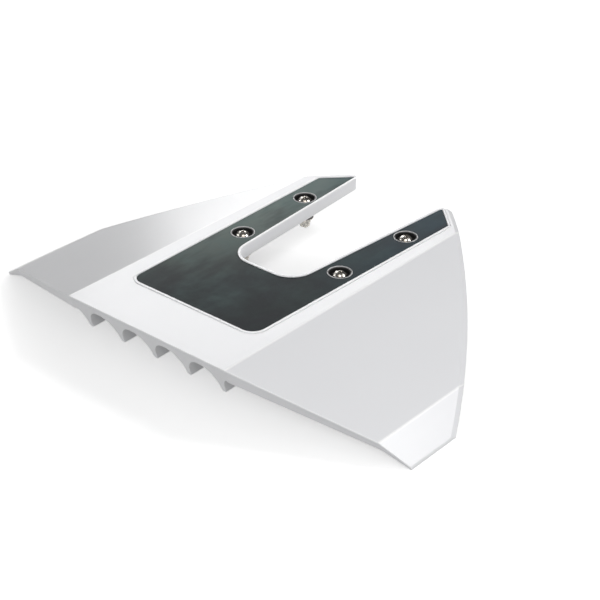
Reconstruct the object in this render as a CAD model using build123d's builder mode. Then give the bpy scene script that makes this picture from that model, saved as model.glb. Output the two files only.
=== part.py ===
from build123d import *
from math import cos, hypot, radians, sin, tan
import os

# Frame: +Y is forward, +X is starboard, +Z is up, in millimetres.
# The origin is on the underside seat, in the middle of the four bolts.

# Plan of the moulding
half_width = 240.0
trailing_y = -230.0
arm_end_y = 116.0
tip_front_y = -117.0
nose_aim_x = 52.0
nose_aim_y = 125.5
nose_bulge = 12.7
arm_corner_radius = 4.0
wing_sweep = 19.6

# Section of the moulding
seat_depth = 12.0
fold_x = 91.5
wing_droop = 16.7
wing_thickness = 8.4
tip_width = 25.5
tip_droop = 32.5
tip_edge_thickness = 3.5
fold_radius = 5.0
rear_rake = 22.6
nose_bevel_width = 4.0
nose_bevel_drop = 1.9
under_bevel_width = 9.0
under_bevel_rise = 3.5
edge_bevel = 0.6

# Keels under the trailing edge
keel_count = 5
keel_pitch = 39.4
keel_depth = 31.9
keel_start_y = -100.0
channel_width = 34.4
channel_height = 21.0
channel_shoulder = 2.6
keel_rounding = 2.0

# Slot for the leg, whose sides are set by their distance from the bolts
slot_rear_y = -84.0
rear_bolt_to_slot = 18.7
front_bolt_to_slot = 15.4
slot_corner_radius = 22.0
slot_mouth_radius = 9.0
slot_lip_width = 2.2

# Inlay panel and its recess, whose sides are also set from the bolts
panel_rear_y = -174.5
rear_bolt_to_panel = 17.7
front_bolt_to_panel = 16.7
panel_corner_radius = 13.0
panel_front_radius = 3.0
panel_front_margin = 9.0
panel_thickness = 1.5
panel_clearance = 0.2
adhesive_thickness = 0.25
panel_set_down = 0.3
rim_width = 2.0
lip_height = 0.7
rim_groove_width = 0.6
rim_groove_depth = 0.6

# Underside: the seat on the plate, and the thinner skin behind it that carries the keels
seat_half_width = 78.0
seat_rear_y = -98.0
seat_bevel = 1.0
skin_thickness = 8.7

# Bolts, their pockets and what clamps the plate
rear_bolt_half = 58.0
front_bolt_half = 61.0
bolt_row_spacing = 91.0
pocket_radius = 10.6
pocket_lip_width = 0.7
pocket_floor = 5.4
bolt_hole_radius = 4.5
cup_wall = 1.0
cup_floor = 1.5
cup_clearance = 0.1
cup_set_down = 0.6
cup_rounding = 0.4
plate_thickness = 8.0
shank_radius = 3.175
thread_radius = 2.9
bolt_reach = 19.5
thread_bevel = 0.6
head_radius = 6.25
head_height = 4.2
head_rim = 1.6
recess_depth = 2.4
recess_width = 1.5
recess_span = 7.0
recess_taper = 8.0
washer_radius = 8.5
washer_bore_radius = 3.45
washer_thickness = 1.6
washer_bevel = 0.3
nut_across_flats = 11.1
nut_height = 5.6
nut_bevel = 0.8
collar_radius = 5.1
collar_height = 2.4
thread_clearance = 0.05
ring_radius = 4.2
ring_height = 1.8
ring_clearance = 0.05

top_z = seat_depth
tip_fold_x = half_width - tip_width
skin_z = top_z - skin_thickness
front_bolt_y = bolt_row_spacing / 2
rear_bolt_y = -bolt_row_spacing / 2
bolt_places = [
    ("rear_left", -rear_bolt_half, rear_bolt_y),
    ("rear_right", rear_bolt_half, rear_bolt_y),
    ("front_left", -front_bolt_half, front_bolt_y),
    ("front_right", front_bolt_half, front_bolt_y),
]
margin = 60.0
near = 0.05
gentle = 0.5
lip_root = 0.5
recess_floor_depth = panel_set_down + panel_thickness + adhesive_thickness


def along_bolts(rear_half, front_half, y):
    """Half width at y of a side that runs straight past the rear and the front bolts."""
    return rear_half + (y - rear_bolt_y) / bolt_row_spacing * (front_half - rear_half)


def slot_half(y):
    """Half width of the slot, which flares forward."""
    return along_bolts(rear_bolt_half - rear_bolt_to_slot, front_bolt_half - front_bolt_to_slot, y)


def panel_half(y):
    """Half width of the recess for the panel, which flares forward a little."""
    return along_bolts(rear_bolt_half + rear_bolt_to_panel, front_bolt_half + front_bolt_to_panel, y)


def top_height(x):
    """Height of the upper surface at this distance from the centre line."""
    past_fold = max(0, min(abs(x), tip_fold_x) - fold_x)
    past_tip_fold = max(0, abs(x) - tip_fold_x)
    return top_z - past_fold * tan(radians(wing_droop)) - past_tip_fold * tan(radians(tip_droop))


def trailing_edge(x):
    """Plan position of the upper trailing edge, which sweeps forward outside the folds."""
    return trailing_y + max(0, abs(x) - fold_x) * tan(radians(wing_sweep))


def rake_back(x):
    """Where the trailing edge at x lies when it is slid up the raked rear face to the top plane."""
    return trailing_edge(x) - (top_z - top_height(x)) * tan(radians(rear_rake))


def upright(x, y, z=0.0):
    """Plane whose drawing directions are +X and +Z, seen from behind."""
    return Plane(origin=(x, y, z), x_dir=(1, 0, 0), z_dir=(0, -1, 0))


def mirrored(points):
    """Points of a symmetric outline: the starboard points, then their port twins in reverse."""
    return points + [(-x, y) for x, y in reversed(points)]


def is_nose_face(face):
    """The two upright faces of the leading edge."""
    return face.geom_type == GeomType.CYLINDER and abs(face.radius - nose_radius) < near


def is_upper(edge):
    """An edge that lies on the upper surface."""
    middle = edge @ 0.5
    return abs(middle.Z - top_height(middle.X)) < near


def is_crease(edge):
    """A fore and aft edge of the upper surface, on one of the folds."""
    side = abs((edge @ 0.5).X)
    on_fold = min(abs(side - fold_x), abs(side - tip_fold_x)) < near
    return is_upper(edge) and on_fold and abs((edge % 0.5).Y) > 1 - near


def is_under_nose(edge):
    """The lower edge of a nose face, where the middle or a wing is above it."""
    middle = edge @ 0.5
    is_lower = middle.Z < top_height(middle.X) - nose_bevel_drop - near
    is_lengthwise = abs((edge % 0.5).Z) < gentle
    return is_lower and is_lengthwise and abs(middle.X) < tip_fold_x


def is_rear_or_tip(edge):
    """An edge of the upper surface along the trailing edge or along a tip."""
    middle = edge @ 0.5
    at_rear = abs(middle.Y - trailing_edge(middle.X)) < near
    at_tip = abs(abs(middle.X) - half_width) < near
    return is_upper(edge) and (at_rear or at_tip)


# Leading edge: one arc from the tip's front corner towards the aim point by the slot
chord_x = nose_aim_x - half_width
chord_y = nose_aim_y - tip_front_y
chord = hypot(chord_x, chord_y)
nose_mid = (
    (half_width + nose_aim_x) / 2 + chord_y / chord * nose_bulge,
    (tip_front_y + nose_aim_y) / 2 - chord_x / chord * nose_bulge,
)
nose_radius = (chord**2 / 4 + nose_bulge**2) / (2 * nose_bulge)

# The plan inside the two arcs, as if they met the line of the aim points
with BuildSketch() as nose_outline:
    with BuildLine():
        ThreePointArc((half_width, tip_front_y), nose_mid, (nose_aim_x, nose_aim_y))
        Polyline(
            (nose_aim_x, nose_aim_y),
            (-nose_aim_x, nose_aim_y),
        )
        ThreePointArc((-nose_aim_x, nose_aim_y), (-nose_mid[0], nose_mid[1]), (-half_width, tip_front_y))
        Polyline(
            (-half_width, tip_front_y),
            (-half_width, trailing_y - margin),
            (half_width, trailing_y - margin),
            (half_width, tip_front_y),
        )
    make_face()

# The outline in plan, before the rear is cut to its rake
with BuildSketch() as outline:
    add(nose_outline.sketch)
    with Locations((0, arm_end_y)):
        Rectangle(4 * half_width, 2 * margin, align=(Align.CENTER, Align.MIN), mode=Mode.SUBTRACT)

# The leg's slot, open forward
with BuildSketch() as slot_outline:
    slot_ends = [slot_rear_y, arm_end_y + margin]
    Polygon(*mirrored([(slot_half(y), y) for y in slot_ends]), align=None)
    fillet(slot_outline.vertices().group_by(Axis.Y)[0], slot_corner_radius)

# The finished plan: the slot cut out, its mouth and the arms' outer corners rounded
with BuildSketch() as finished_plan:
    add(outline.sketch)
    add(slot_outline.sketch, mode=Mode.SUBTRACT)
    arm_corners = finished_plan.vertices().group_by(Axis.Y)[-1].sort_by(Axis.X)
    fillet(arm_corners[1:3], slot_mouth_radius)
    arm_corners = finished_plan.vertices().group_by(Axis.Y)[-1].sort_by(Axis.X)
    fillet([arm_corners[0], arm_corners[-1]], arm_corner_radius)

with BuildSketch() as inside_lip:
    add(finished_plan.sketch)
    offset(amount=-slot_lip_width)

# Outer edge of the recess: its front ends run along the leading edge
with BuildSketch() as recess_outline:
    panel_ends = [panel_rear_y, arm_end_y]
    Polygon(*mirrored([(panel_half(y), y) for y in panel_ends]), align=None)
    with BuildSketch(mode=Mode.INTERSECT):
        add(nose_outline.sketch)
        offset(amount=-panel_front_margin, kind=Kind.INTERSECTION)
    fillet(recess_outline.vertices().group_by(Axis.Y)[0], panel_corner_radius)
    front_corners = recess_outline.vertices().sort_by(Axis.X)
    fillet([front_corners[0], front_corners[-1]], panel_front_radius)

# The keels, as one block with pointed channels between them
crest_z = top_z - keel_depth
keel_rear_y = trailing_y + keel_depth * tan(radians(rear_rake))
keel_span = keel_pitch * keel_count
with BuildPart() as keels:
    with BuildSketch(Plane.YZ):
        with BuildLine():
            TangentArc((keel_rear_y, crest_z), (keel_start_y, skin_z), tangent=(1, 0))
            Polyline(
                (keel_start_y, skin_z),
                (keel_start_y, skin_z + channel_shoulder),
                (trailing_y - margin, skin_z + channel_shoulder),
                (trailing_y - margin, crest_z),
                (keel_rear_y, crest_z),
            )
        make_face()
    extrude(amount=keel_span / 2, both=True)
    with BuildSketch(upright(0, 0, crest_z + channel_shoulder)):
        with GridLocations(keel_pitch, 0, keel_count + 1, 1):
            Ellipse(channel_width / 2, channel_height)
            Rectangle(channel_width, 2 * channel_height, align=(Align.CENTER, Align.MAX))
    extrude(amount=-trailing_y + margin, mode=Mode.SUBTRACT)
    crests = keels.faces().filter_by(GeomType.CYLINDER)
    fillet(crests.edges().filter_by(Axis.X, reverse=True), keel_rounding)

with BuildPart() as foil_body:
    # The section runs fore and aft unchanged: flat middle, drooped wings, steeper tips
    with BuildSketch(upright(0, 0)):
        half = [
            (fold_x, top_z),
            (tip_fold_x, top_height(tip_fold_x)),
            (half_width, top_height(half_width)),
            (half_width, top_height(half_width) - tip_edge_thickness),
            (tip_fold_x, top_height(tip_fold_x) - wing_thickness),
            (seat_half_width, 0),
        ]
        Polygon(*mirrored(half), align=None)
    extrude(amount=-trailing_y + margin, both=True)
    # Behind the seat the middle thins to a skin, which carries the keels
    with BuildSketch():
        with Locations((0, seat_rear_y)):
            Rectangle(2 * seat_half_width, half_width, align=(Align.CENTER, Align.MAX))
    extrude(amount=skin_z, mode=Mode.SUBTRACT)
    add(keels.part)
    extrude(outline.sketch, amount=4 * margin, both=True, mode=Mode.INTERSECT)
    # The rear face leans forward as it goes down, on the middle and the wings alike
    with BuildSketch(Plane.XY.offset(top_z)):
        stations = [fold_x, tip_fold_x, half_width + margin]
        rear = [(x, rake_back(x)) for x in stations]
        Polygon(*mirrored([*rear, (half_width + margin, arm_end_y + margin)]), align=None)
    extrude(
        amount=4 * margin,
        dir=(0, sin(radians(rear_rake)), -cos(radians(rear_rake))),
        mode=Mode.INTERSECT,
    )
    # Bevelled leading edge, measured down each nose face and back over the upper surface
    for nose_face in foil_body.faces().filter_by(is_nose_face):
        nose_edges = nose_face.edges().filter_by(is_upper)
        chamfer(nose_edges, length=nose_bevel_drop, length2=nose_bevel_width, reference=nose_face)
    for nose_face in foil_body.faces().filter_by(is_nose_face):
        under_edges = nose_face.edges().filter_by(is_under_nose)
        chamfer(under_edges, length=under_bevel_rise, length2=under_bevel_width, reference=nose_face)
    chamfer(foil_body.edges().filter_by(is_rear_or_tip), edge_bevel)
    fillet(foil_body.edges().filter_by(is_crease), fold_radius)
    # Recess for the panel, leaving lips round the slot and the bolt pockets
    with BuildSketch(Plane.XY.offset(top_z - recess_floor_depth)):
        add(recess_outline.sketch)
        add(inside_lip.sketch, mode=Mode.INTERSECT)
        for name, x, y in bolt_places:
            with Locations((x, y)):
                Circle(pocket_radius + pocket_lip_width, mode=Mode.SUBTRACT)
    extrude(amount=recess_floor_depth + lip_height, mode=Mode.SUBTRACT)
    # Raised rim round the recess with a groove outside it, and raised lip round the slot
    with BuildSketch(Plane.XY.offset(top_z - rim_groove_depth)):
        add(recess_outline.sketch)
        offset(amount=rim_width + rim_groove_width)
        with BuildSketch(mode=Mode.SUBTRACT):
            add(recess_outline.sketch)
            offset(amount=rim_width)
    extrude(amount=rim_groove_depth, mode=Mode.SUBTRACT)
    with BuildSketch(Plane.XY.offset(top_z - lip_root)):
        add(recess_outline.sketch)
        offset(amount=rim_width)
        add(recess_outline.sketch, mode=Mode.SUBTRACT)
    extrude(amount=lip_root + lip_height)
    with BuildSketch(Plane.XY.offset(top_z - lip_root)):
        add(recess_outline.sketch)
        add(inside_lip.sketch, mode=Mode.SUBTRACT)
    extrude(amount=lip_root + lip_height)
    extrude(finished_plan.sketch, amount=4 * margin, both=True, mode=Mode.INTERSECT)
    # Bolt pockets and the holes below them
    for name, x, y in bolt_places:
        with BuildSketch(Plane(origin=(x, y, pocket_floor))):
            Circle(pocket_radius)
        extrude(amount=seat_depth, mode=Mode.SUBTRACT)
        with BuildSketch(Plane(origin=(x, y, -margin))):
            Circle(bolt_hole_radius)
        extrude(amount=2 * margin, mode=Mode.SUBTRACT)
    # The seat's rear edge
    seat = foil_body.faces().filter_by(Axis.Z).sort_by(lambda face: abs(face.center().Z))[0]
    chamfer(seat.edges().sort_by(Axis.Y)[0], seat_bevel)
foil_body.part.label = "foil_body"

# Panel and the adhesive under it fill the recess, less a running clearance
with BuildSketch() as panel_outline:
    add(recess_outline.sketch)
    add(inside_lip.sketch, mode=Mode.INTERSECT)
    offset(amount=-panel_clearance)
    for name, x, y in bolt_places:
        with Locations((x, y)):
            Circle(pocket_radius + pocket_lip_width + panel_clearance, mode=Mode.SUBTRACT)

with BuildPart() as panel_adhesive:
    with BuildSketch(Plane.XY.offset(top_z - recess_floor_depth)):
        add(panel_outline.sketch)
    extrude(amount=adhesive_thickness)
panel_adhesive.part.label = "panel_adhesive"

with BuildPart() as inlay_panel:
    with BuildSketch(Plane.XY.offset(top_z - panel_set_down)):
        add(panel_outline.sketch)
    extrude(amount=-panel_thickness)
inlay_panel.part.label = "inlay_panel"

# One of each fastening piece, about its own bolt axis
cup_radius = pocket_radius - cup_clearance
cup_top_z = top_z - cup_set_down
head_seat_z = pocket_floor + cup_floor
head_top_z = head_seat_z + head_height
washer_top_z = -plate_thickness
nut_top_z = washer_top_z - washer_thickness
collar_top_z = nut_top_z - nut_height
thread_bore = thread_radius + thread_clearance

with BuildPart() as one_cup:
    with BuildSketch(Plane.XY.offset(pocket_floor)):
        Circle(cup_radius)
    extrude(amount=cup_top_z - pocket_floor)
    with BuildSketch(Plane.XY.offset(head_seat_z)):
        Circle(cup_radius - cup_wall)
    extrude(amount=seat_depth, mode=Mode.SUBTRACT)
    fillet(one_cup.edges().group_by(Axis.Z)[-1], cup_rounding)
    with BuildSketch():
        Circle(bolt_hole_radius)
    extrude(amount=seat_depth, mode=Mode.SUBTRACT)

with BuildPart() as one_bolt:
    with BuildSketch(Plane.XZ):
        with BuildLine():
            TangentArc((0, head_top_z), (head_radius, head_seat_z + head_rim), tangent=(1, 0))
            Polyline(
                (head_radius, head_seat_z + head_rim),
                (head_radius, head_seat_z),
                (shank_radius, head_seat_z),
                (shank_radius, washer_top_z),
                (thread_radius, washer_top_z),
                (thread_radius, thread_bevel - bolt_reach),
                (thread_radius - thread_bevel, -bolt_reach),
                (0, -bolt_reach),
                (0, head_top_z),
            )
        make_face()
    revolve(axis=Axis.Z)
    with BuildSketch(Plane.XY.offset(head_top_z)):
        Rectangle(recess_span, recess_width)
        Rectangle(recess_width, recess_span)
    extrude(amount=-recess_depth, taper=recess_taper, mode=Mode.SUBTRACT)

with BuildPart() as one_washer:
    with BuildSketch(Plane.XY.offset(washer_top_z)):
        Circle(washer_radius)
    extrude(amount=-washer_thickness)
    chamfer(one_washer.edges(), washer_bevel)
    with BuildSketch(Plane.XY.offset(washer_top_z)):
        Circle(washer_bore_radius)
    extrude(amount=-washer_thickness, mode=Mode.SUBTRACT)

with BuildPart() as one_nut:
    with BuildSketch(Plane.XY.offset(nut_top_z)):
        RegularPolygon(nut_across_flats / 2, 6, major_radius=False)
    extrude(amount=-nut_height)
    with BuildPart(mode=Mode.INTERSECT) as corner_turning:
        with BuildSketch(Plane.XY.offset(nut_top_z)):
            Circle(nut_across_flats / 2 + nut_bevel)
        extrude(amount=-nut_height)
        chamfer(corner_turning.edges().filter_by(GeomType.CIRCLE), nut_bevel)
    with BuildSketch(Plane.XY.offset(collar_top_z)):
        Circle(collar_radius)
    extrude(amount=-collar_height)
    with BuildSketch(Plane.XY.offset(nut_top_z)):
        Circle(thread_bore)
    extrude(amount=-nut_height - collar_height, mode=Mode.SUBTRACT)
    # Seat for the locking ring, with a turned-in lip over it
    with BuildSketch(Plane.XY.offset(collar_top_z)):
        Circle(ring_radius + ring_clearance)
    extrude(amount=-ring_height, mode=Mode.SUBTRACT)

with BuildPart() as one_ring:
    with BuildSketch(Plane.XY.offset(collar_top_z)):
        Circle(ring_radius)
        Circle(thread_bore, mode=Mode.SUBTRACT)
    extrude(amount=-ring_height)

os.makedirs("parts", exist_ok=True)
for body in (foil_body, inlay_panel, panel_adhesive):
    export_step(body.part, f"parts/{body.part.label}.step")

pieces = {"cup": one_cup, "bolt": one_bolt, "washer": one_washer, "nut": one_nut, "ring": one_ring}
for place, x, y in bolt_places:
    for kind, piece in pieces.items():
        with BuildPart() as placed:
            with Locations((x, y)):
                add(piece.part)
        placed.part.label = f"{place}_{kind}"
        export_step(placed.part, f"parts/{placed.part.label}.step")
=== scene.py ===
import math

import bmesh
import bpy
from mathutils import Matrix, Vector


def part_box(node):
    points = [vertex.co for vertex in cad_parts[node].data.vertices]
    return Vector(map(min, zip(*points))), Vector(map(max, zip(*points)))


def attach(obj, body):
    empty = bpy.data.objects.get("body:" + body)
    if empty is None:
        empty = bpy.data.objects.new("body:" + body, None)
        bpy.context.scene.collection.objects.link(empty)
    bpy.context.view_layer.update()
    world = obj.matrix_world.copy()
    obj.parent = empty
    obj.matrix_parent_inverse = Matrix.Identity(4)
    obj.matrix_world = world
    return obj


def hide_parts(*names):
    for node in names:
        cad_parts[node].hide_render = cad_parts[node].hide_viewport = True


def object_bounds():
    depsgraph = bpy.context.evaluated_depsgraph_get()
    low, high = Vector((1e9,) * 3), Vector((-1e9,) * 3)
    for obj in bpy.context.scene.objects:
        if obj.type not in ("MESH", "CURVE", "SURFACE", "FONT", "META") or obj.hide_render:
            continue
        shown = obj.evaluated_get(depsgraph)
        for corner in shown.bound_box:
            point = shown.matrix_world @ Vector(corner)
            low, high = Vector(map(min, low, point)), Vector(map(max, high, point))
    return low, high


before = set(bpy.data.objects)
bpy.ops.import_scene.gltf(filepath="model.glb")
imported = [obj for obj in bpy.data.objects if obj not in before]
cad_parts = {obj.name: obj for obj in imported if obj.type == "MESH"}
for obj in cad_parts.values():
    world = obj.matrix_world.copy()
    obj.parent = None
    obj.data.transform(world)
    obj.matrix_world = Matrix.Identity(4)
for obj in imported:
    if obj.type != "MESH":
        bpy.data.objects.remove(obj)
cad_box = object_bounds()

scene = bpy.context.scene
MM = 0.001

# Camera, fitted to the photograph. Bearings run clockwise from +Y, seen from above
CAMERA_BEARING = 139.124
CAMERA_ELEVATION = 30.132
CAMERA_DISTANCE = 1.395
CAMERA_TARGET = Vector((0.06367, -0.1056, 0.012))
FOCAL_PIXELS = 1631.7
IMAGE_PIXELS = 600
SENSOR_MM = 36.0
NEAR_CLIP = 0.05

BOLT_PLACES = ("rear_left", "rear_right", "front_left", "front_right")

# Heads of the bolts: what lies this near the top rises by this much
HEAD_CROWN = 3.4 * MM
HEAD_RAISE = 1.5 * MM

# Thread on the open end of each bolt
THREAD_PITCH = 1.27 * MM
THREAD_CREST = 3.1 * MM
THREAD_ROOT = 2.75 * MM
THREAD_CREST_HALF = 0.07 * THREAD_PITCH
THREAD_ROOT_HALF = 0.44 * THREAD_PITCH
THREAD_INTO_NUT = 0.5 * THREAD_PITCH
THREAD_ABOVE_END = 0.35 * THREAD_PITCH
THREAD_STEPS = 48
# One part in this many of its length, at each end, tapers to nothing
THREAD_TAPER = 6

# Moulding: its fold lines, how wide the painted highlight along each fold is, and the painted shade at the
# rim of each bolt's pocket
FOLDS = (91.5 * MM, 214.5 * MM)
FOLD_HIGHLIGHT_WIDTH = (0.5 * MM, 1.4 * MM)
POCKET_SHADE_RIM = (11.35 * MM, 11.5 * MM)
MOULDING_TINT = (0.982, 0.987, 1.008)
# Above 0.275 all over, because the denoiser sharpens what is smoother and its border would show
MOULDING_ROUGHNESS = (0.278, 0.3)

# Panel: it mirrors little, so its paler port side is a painted reflection; these are its colours, in linear
# light, and where they change
PANEL_IOR = 1.07
PANEL_STARBOARD = (0.013, 0.02, 0.021, 1.0)
PANEL_PORT_REFLECTION = (0.19, 0.24, 0.22, 1.0)
PANEL_FRONT = (0.008, 0.031, 0.05, 1.0)
PANEL_CLOUD = (0.08, 0.135, 0.13, 1.0)
PANEL_STREAK = (0.012, 0.012, 0.017, 1.0)
PANEL_SPECK = (0.16, 0.18, 0.18, 1.0)
PANEL_EDGE = (0.09, 0.1, 0.1, 1.0)
PORT_REFLECTION_FADE = (-60 * MM, 120 * MM)
FRONT_FADE = (-50 * MM, 130 * MM)
CLOUD_FADE = (10 * MM, 45 * MM)

# Fasteners
STEEL_DULL = (0.34, 0.325, 0.3, 1.0)
STEEL_BRIGHT = (0.74, 0.71, 0.66, 1.0)
STEEL_EDGE = (0.9, 0.89, 0.87, 1.0)
RING_DARK = (0.66, 0.64, 0.58, 1.0)
RING_LIGHT = (0.8, 0.78, 0.72, 1.0)

# Cosine between the plain normal and the rounded one, where an edge starts and where it is full
EDGE_STARTS = 0.995
EDGE_IS_FULL = 0.8

# Floor, backdrop and lamps
FLOOR_Z = cad_box[0][2]
FLOOR_REACH = 6.0
FLOOR_GLOW = 0.42
BACKDROP_SEEN = 0.53
BACKDROP_LIGHT = 0.1
SOFTBOX_DISTANCE = 1.6
WHITE = (1.0, 1.0, 1.0)
WARM = (1.0, 0.93, 0.86)


def toward(bearing, elevation):
    """Unit vector from the part to what stands at this bearing and elevation."""
    b = math.radians(bearing)
    e = math.radians(elevation)
    return Vector((math.sin(b) * math.cos(e), math.cos(b) * math.cos(e), math.sin(e)))


def middle(node):
    """Centre of a CAD node's box."""
    low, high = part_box(node)
    return (low + high) / 2


def grey(value, tint=WHITE):
    """Linear grey of this brightness, shifted by a tint."""
    return tuple(value * t for t in tint) + (1.0,)


# Materials


class Nodes:
    """A material's node tree, with short calls for adding and linking nodes."""

    def __init__(self, name, uniform=None):
        """The uniform values are the shader's, by the names of its sockets."""
        self.material = bpy.data.materials.new(name)
        self.material.use_nodes = True
        self.tree = self.material.node_tree
        self.tree.nodes.clear()
        output = self.add("ShaderNodeOutputMaterial")
        self.shader = self.add("ShaderNodeBsdfPrincipled", uniform)
        self.link(self.shader.outputs["BSDF"], output.inputs["Surface"])
        self.point = self.add("ShaderNodeTexCoord").outputs["Object"]

    def add(self, kind, inputs=None, **settings):
        """Adds a node with these settings, and feeds its inputs by name or number."""
        node = self.tree.nodes.new(kind)
        for key, value in settings.items():
            setattr(node, key, value)
        for key, value in (inputs or {}).items():
            self.feed(node.inputs[key], value)
        return node

    def link(self, source, target):
        self.tree.links.new(source, target)

    def feed(self, socket, value):
        """Links an output to a socket, or sets the socket to a plain value."""
        if isinstance(value, bpy.types.NodeSocket):
            self.link(value, socket)
        else:
            socket.default_value = value

    def math(self, operation, *values):
        return self.add("ShaderNodeMath", dict(enumerate(values)), operation=operation).outputs["Value"]

    def plus(self, first, second):
        return self.math("ADD", first, second)

    def minus(self, first, second):
        return self.math("SUBTRACT", first, second)

    def times(self, first, second):
        return self.math("MULTIPLY", first, second)

    def remap(self, value, low, high, to_low=0.0, to_high=1.0):
        """The value's range low to high, brought to another range and clamped there."""
        inputs = {"Value": value, "From Min": low, "From Max": high, "To Min": to_low, "To Max": to_high}
        return self.add("ShaderNodeMapRange", inputs).outputs["Result"]

    def mix(self, factor, first, second):
        """Colour that goes from the first to the second as the factor rises."""
        inputs = {"Factor": factor, "A": first, "B": second}
        return self.add("ShaderNodeMix", inputs, data_type="RGBA").outputs["Result"]

    def noise(self, scale, detail=2.0, stretch=(1.0, 1.0, 1.0), rough=0.5, twist=0.0):
        """Noise of this many cells per metre, drawn out along the axes with a small stretch."""
        turn = (0.0, 0.0, math.radians(twist))
        mapping = self.add("ShaderNodeMapping", {"Vector": self.point, "Scale": stretch, "Rotation": turn})
        inputs = {"Vector": mapping.outputs["Vector"], "Scale": scale, "Detail": detail, "Roughness": rough}
        return self.add("ShaderNodeTexNoise", inputs).outputs["Fac"]

    def axes(self, vector):
        """The x, y and z of a vector."""
        outputs = self.add("ShaderNodeSeparateXYZ", {"Vector": vector}).outputs
        return outputs["X"], outputs["Y"], outputs["Z"]

    def normal(self):
        """Plain normal of the surface."""
        return self.add("ShaderNodeNewGeometry").outputs["Normal"]

    def rounded(self, radius):
        """Normal with every sharp edge rounded to this radius."""
        return self.add("ShaderNodeBevel", {"Radius": radius}).outputs["Normal"]

    def edges(self, radius):
        """1 on the sharp edges, falling to 0 this far from them."""
        normals = {0: self.rounded(radius), 1: self.normal()}
        cosine = self.add("ShaderNodeVectorMath", normals, operation="DOT_PRODUCT").outputs["Value"]
        return self.remap(cosine, EDGE_STARTS, EDGE_IS_FULL)

    def coat(self, colour, rough):
        """Gives the surface its colour and roughness."""
        self.feed(self.shader.inputs["Base Color"], colour)
        self.feed(self.shader.inputs["Roughness"], rough)

    def bump(self, *layers, edge_radius):
        """Surface relief over rounded edges: each layer is a height and its depth in metres."""
        normal = self.rounded(edge_radius)
        for height, depth in layers:
            inputs = {"Height": height, "Distance": depth, "Normal": normal}
            normal = self.add("ShaderNodeBump", inputs).outputs["Normal"]
        self.link(normal, self.shader.inputs["Normal"])


def bolt_distance(nodes):
    """Distance of the shaded point from the nearest bolt's axis."""
    rear = middle("rear_right_bolt")
    front = middle("front_right_bolt")
    x, y, _ = nodes.axes(nodes.point)
    ahead = nodes.math("GREATER_THAN", y, 0.0)
    axis_x = nodes.remap(ahead, 0.0, 1.0, rear.x, front.x)
    from_x = nodes.minus(nodes.math("ABSOLUTE", x), axis_x)
    from_y = nodes.minus(nodes.math("ABSOLUTE", y), front.y)
    square = nodes.plus(nodes.math("POWER", from_x, 2.0), nodes.math("POWER", from_y, 2.0))
    return nodes.math("SQRT", square)


def moulding_material():
    """Satin moulding in pale grey: fine tool texture, faint flow marks, rubbed edges, a painted highlight
    along the folds and painted shade at each pocket's rim.
    """
    nodes = Nodes("moulding_satin")
    clouds = nodes.noise(9.0)
    flow = nodes.noise(24.0, stretch=(1.0, 0.18, 1.0))
    grain = nodes.noise(2600.0)
    peel = nodes.noise(420.0, detail=1.5)
    edges = nodes.edges(1.3 * MM)
    # Painted highlight: a pale line along each fold, on upward faces only, joined to the rubbed edges
    x, _, _ = nodes.axes(nodes.point)
    side = nodes.math("ABSOLUTE", x)
    _, _, up = nodes.axes(nodes.normal())
    faces_up = nodes.remap(up, 0.7, 0.8)
    for fold in FOLDS:
        off = nodes.math("ABSOLUTE", nodes.minus(side, fold))
        fold_highlight = nodes.remap(off, *FOLD_HIGHLIGHT_WIDTH, 1.0, 0.0)
        edges = nodes.math("MAXIMUM", edges, nodes.times(fold_highlight, faces_up))
    wear_and_highlight = nodes.times(edges, nodes.remap(peel, 0.3, 0.7, 0.7, 1.0))
    body = nodes.mix(clouds, grey(0.79, MOULDING_TINT), grey(0.81, MOULDING_TINT))
    body = nodes.mix(nodes.remap(flow, 0.3, 0.8, 0.0, 0.25), body, grey(0.83, MOULDING_TINT))
    # Pales the rubbed edges, and paints the highlight along the folds
    body = nodes.mix(nodes.times(wear_and_highlight, 0.9), body, grey(0.97))
    # Painted shade: a dark grey ring at the rim of each bolt's pocket
    pocket_shade = nodes.remap(bolt_distance(nodes), *POCKET_SHADE_RIM, 0.8, 0.0)
    body = nodes.mix(pocket_shade, body, grey(0.3))
    rough = nodes.remap(clouds, 0.2, 0.8, *MOULDING_ROUGHNESS)
    nodes.coat(body, nodes.plus(rough, nodes.times(wear_and_highlight, 0.06)))
    nodes.bump((peel, 0.02 * MM), (grain, 0.01 * MM), edge_radius=0.35 * MM)
    return nodes.material


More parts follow.
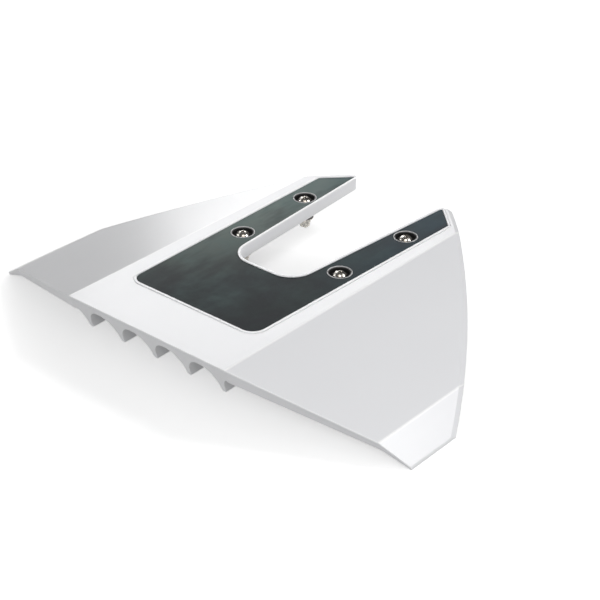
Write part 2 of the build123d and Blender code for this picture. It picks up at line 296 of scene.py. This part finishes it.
def panel_material():
    """Dark slate gloss sheet: paler to port in a painted reflection, bluer to the front, with clouds,
    streaks and specks.
    """
    nodes = Nodes("panel_gloss", {"IOR": PANEL_IOR})
    x, y, _ = nodes.axes(nodes.point)
    # Painted reflection: the sheet grows paler towards port
    port_reflection = nodes.remap(nodes.minus(nodes.times(y, 0.5), x), *PORT_REFLECTION_FADE)
    to_front = nodes.remap(nodes.plus(y, nodes.times(x, 0.8)), *FRONT_FADE)
    clouds = nodes.noise(26.0, detail=5.0, rough=0.55)
    streaks = nodes.noise(40.0, detail=4.0, stretch=(1.0, 0.35, 1.0), twist=50.0)
    specks = nodes.noise(1900.0, detail=1.0)
    scratches = nodes.noise(700.0, stretch=(0.02, 1.0, 1.0), twist=-37.0)
    ripple = nodes.noise(120.0, detail=1.0)
    # Painted reflection: paler towards port
    base = nodes.mix(port_reflection, PANEL_STARBOARD, PANEL_PORT_REFLECTION)
    base = nodes.mix(nodes.times(to_front, 0.8), base, PANEL_FRONT)
    # The clouds thin out to starboard
    veil = nodes.times(nodes.remap(clouds, 0.42, 0.7, 0.0, 0.5), nodes.remap(x, *CLOUD_FADE, 1.0, 0.3))
    base = nodes.mix(veil, base, PANEL_CLOUD)
    base = nodes.mix(nodes.remap(streaks, 0.45, 0.68, 0.0, 0.6), base, PANEL_STREAK)
    base = nodes.mix(nodes.remap(specks, 0.7, 0.78, 0.0, 0.3), base, PANEL_SPECK)
    base = nodes.mix(nodes.times(nodes.edges(0.5 * MM), 0.4), base, PANEL_EDGE)
    rough = nodes.remap(clouds, 0.35, 0.7, 0.13, 0.18)
    nodes.coat(base, nodes.plus(rough, nodes.remap(scratches, 0.66, 0.74, 0.0, 0.12)))
    nodes.bump((ripple, 0.02 * MM), (scratches, 0.004 * MM), edge_radius=0.3 * MM)
    return nodes.material


def steel_material():
    """Stainless fasteners: turned rings about each bolt's axis, with dull and bright patches."""
    nodes = Nodes("stainless_turned", {"Metallic": 1.0})
    turning = {"W": bolt_distance(nodes), "Scale": 9000.0, "Detail": 2.0}
    rings = nodes.add("ShaderNodeTexNoise", turning, noise_dimensions="1D").outputs["Fac"]
    patches = nodes.noise(600.0, detail=3.0)
    grain = nodes.noise(6000.0)
    base = nodes.mix(nodes.remap(patches, 0.4, 0.62), STEEL_DULL, STEEL_BRIGHT)
    base = nodes.mix(nodes.times(nodes.edges(0.4 * MM), 0.6), base, STEEL_EDGE)
    nodes.coat(base, nodes.remap(patches, 0.3, 0.7, 0.24, 0.16))
    nodes.bump((rings, 0.006 * MM), (grain, 0.002 * MM), edge_radius=0.2 * MM)
    return nodes.material


def grained_material(name, dark, light, rough):
    """Nylon or foam: fine grain, soft mottling and paler edges."""
    nodes = Nodes(name)
    mottle = nodes.noise(350.0, detail=3.0)
    grain = nodes.noise(4000.0)
    paler = tuple(0.8 * c + 0.12 for c in light[:3]) + (1.0,)
    base = nodes.mix(nodes.remap(mottle, 0.35, 0.7), dark, light)
    base = nodes.mix(nodes.times(nodes.edges(0.5 * MM), 0.35), base, paler)
    nodes.coat(base, nodes.remap(mottle, 0.3, 0.7, *rough))
    nodes.bump((grain, 0.01 * MM), edge_radius=0.25 * MM)
    return nodes.material


def dress(node, material):
    """Gives one carried-over CAD node its material."""
    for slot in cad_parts[node].material_slots:
        slot.material = material


# Pieces that the scene adds


def add_fastener(name, data, material):
    """Adds a piece of steel that is fixed to the part."""
    data.name = name
    data.materials.clear()
    data.materials.append(material)
    piece = bpy.data.objects.new(name, data)
    scene.collection.objects.link(piece)
    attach(piece, "root")
    return piece


def full_head(place, material):
    """Bolt with the full, high-crowned head of the photograph, on the seat of the plain one."""
    _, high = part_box(f"{place}_bolt")
    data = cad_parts[f"{place}_bolt"].data.copy()
    for vertex in data.vertices:
        if vertex.co.z > high.z - HEAD_CROWN:
            vertex.co.z += HEAD_RAISE
    piece = add_fastener(f"{place}_full_bolt", data, material)
    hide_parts(f"{place}_bolt")


def thread(place, material):
    """Helical thread on the open end of a bolt, from inside its nut to just short of the end."""
    axis = middle(f"{place}_bolt")
    bolt_low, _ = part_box(f"{place}_bolt")
    ring_low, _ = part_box(f"{place}_ring")
    top = ring_low.z + THREAD_INTO_NUT
    bottom = bolt_low.z + THREAD_ABOVE_END
    turns = (top - bottom) / THREAD_PITCH
    count = round(turns * THREAD_STEPS)
    mesh = bmesh.new()
    sections = []
    for step in range(count + 1):
        share = step / count
        angle = 2 * math.pi * turns * share
        z = top + (bottom - top) * share
        swell = min(1.0, THREAD_TAPER * share, THREAD_TAPER * (1 - share))
        crest = THREAD_ROOT + (THREAD_CREST - THREAD_ROOT) * swell
        section = []
        for radius, height in (
            (THREAD_ROOT, z + THREAD_ROOT_HALF),
            (crest, z + THREAD_CREST_HALF),
            (crest, z - THREAD_CREST_HALF),
            (THREAD_ROOT, z - THREAD_ROOT_HALF),
        ):
            x = axis.x + radius * math.cos(angle)
            y = axis.y + radius * math.sin(angle)
            section.append(mesh.verts.new((x, y, height)))
        sections.append(section)
    for before, after in zip(sections, sections[1:]):
        for i in range(4):
            j = (i + 1) % 4
            mesh.faces.new((before[i], before[j], after[j], after[i]))
    mesh.faces.new(sections[0])
    mesh.faces.new(reversed(sections[-1]))
    bmesh.ops.recalc_face_normals(mesh, faces=mesh.faces)
    data = bpy.data.meshes.new(f"{place}_thread")
    mesh.to_mesh(data)
    mesh.free()
    add_fastener(f"{place}_thread", data, material)


# Studio


def make_camera():
    """Camera in the photograph's place."""
    data = bpy.data.cameras.new("photo_camera")
    data.sensor_width = SENSOR_MM
    data.lens = FOCAL_PIXELS / IMAGE_PIXELS * SENSOR_MM
    data.clip_start = NEAR_CLIP
    camera = bpy.data.objects.new("photo_camera", data)
    back = toward(CAMERA_BEARING, CAMERA_ELEVATION)
    camera.location = CAMERA_TARGET + back * CAMERA_DISTANCE
    camera.rotation_euler = back.to_track_quat("Z", "Y").to_euler()
    scene.collection.objects.link(camera)
    scene.camera = camera


def make_floor():
    """Plain pale floor, which sends no soft light back up to the part."""
    corners = [(x * FLOOR_REACH, y * FLOOR_REACH, FLOOR_Z) for x, y in ((-1, -1), (1, -1), (1, 1), (-1, 1))]
    mesh = bpy.data.meshes.new("floor")
    mesh.from_pydata(corners, [], [(0, 1, 2, 3)])
    uniform = {
        "Base Color": grey(0.95),
        "Roughness": 0.9,
        "Emission Color": grey(1.0),
        "Emission Strength": FLOOR_GLOW,
    }
    mesh.materials.append(Nodes("floor_pale", uniform).material)
    floor = bpy.data.objects.new("floor", mesh)
    scene.collection.objects.link(floor)
    floor.visible_diffuse = False


def make_backdrop():
    """Backdrop as pale as the far floor to the camera, and dim to everything else."""
    world = bpy.data.worlds.new("studio")
    world.use_nodes = True
    tree = world.node_tree
    background = tree.nodes["Background"]
    background.inputs["Color"].default_value = grey(1.0)
    strength = tree.nodes.new("ShaderNodeMapRange")
    strength.inputs["To Min"].default_value = BACKDROP_LIGHT
    strength.inputs["To Max"].default_value = BACKDROP_SEEN
    light_path = tree.nodes.new("ShaderNodeLightPath")
    tree.links.new(light_path.outputs["Is Camera Ray"], strength.inputs["Value"])
    tree.links.new(strength.outputs["Result"], background.inputs["Strength"])
    scene.world = world
    scene.view_settings.view_transform = "Standard"


def softbox(name, bearing, elevation, size, radiance, colour=WHITE, diffuse=True, gloss=True):
    """An area light of this radiance, seen this way from the middle of the four bolts."""
    data = bpy.data.lights.new(f"softbox_{name}", "AREA")
    data.shape = "RECTANGLE"
    data.size, data.size_y = size
    data.energy = radiance * math.pi * size[0] * size[1]
    data.color = colour
    lamp = bpy.data.objects.new(f"softbox_{name}", data)
    back = toward(bearing, elevation)
    lamp.location = back * SOFTBOX_DISTANCE
    lamp.rotation_euler = back.to_track_quat("Z", "Y").to_euler()
    lamp.visible_camera = False
    lamp.visible_diffuse = diffuse
    lamp.visible_glossy = gloss
    scene.collection.objects.link(lamp)


def light_studio():
    """Softboxes, each named after what it lights or where it stands."""
    softbox("middle", bearing=-44, elevation=31, size=(0.8, 0.5), radiance=3.87)
    softbox("port", bearing=-66, elevation=31, size=(0.5, 0.6), radiance=1.78)
    softbox("low", bearing=-49, elevation=9, size=(0.5, 0.3), radiance=6.39)
    softbox("tip", bearing=42, elevation=50, size=(0.5, 0.5), radiance=10.36)
    softbox("side", bearing=92, elevation=28, size=(1.0, 0.8), radiance=1.0)
    softbox("lead", bearing=62, elevation=6, size=(1.0, 0.4), radiance=5.5, gloss=False)
    softbox("quarter", bearing=130, elevation=25, size=(1.0, 0.8), radiance=3.18)
    softbox("rear", bearing=180, elevation=30, size=(1.2, 0.8), radiance=1.6)
    softbox("rear_low", bearing=172, elevation=8, size=(1.2, 0.4), radiance=3.3)
    # Seen by the gloss alone: over the bolt heads, in the flat middle, and along the trailing edge
    softbox("above", bearing=132, elevation=78, size=(0.7, 0.6), radiance=4.0, colour=WARM, diffuse=False)
    softbox("shine", bearing=-41, elevation=31, size=(0.8, 0.5), radiance=1.3, diffuse=False)
    softbox("edge", bearing=-118, elevation=32, size=(1.2, 0.7), radiance=3.0, diffuse=False)


make_camera()
dress("foil_body", moulding_material())
dress("inlay_panel", panel_material())
dress("panel_adhesive", grained_material("adhesive_foam", grey(0.02), grey(0.045), rough=(0.6, 0.8)))
steel = steel_material()
# Painted shade: the near-black cups stand for the deep shade down in each pocket
cup_nylon = grained_material("cup_nylon", grey(0.008), grey(0.016), rough=(0.35, 0.5))
ring_nylon = grained_material("ring_nylon", RING_DARK, RING_LIGHT, rough=(0.4, 0.55))
for place in BOLT_PLACES:
    dress(f"{place}_cup", cup_nylon)
    dress(f"{place}_ring", ring_nylon)
    for kind in ("bolt", "washer", "nut"):
        dress(f"{place}_{kind}", steel)
    full_head(place, steel)
    thread(place, steel)
make_floor()
make_backdrop()
light_studio()
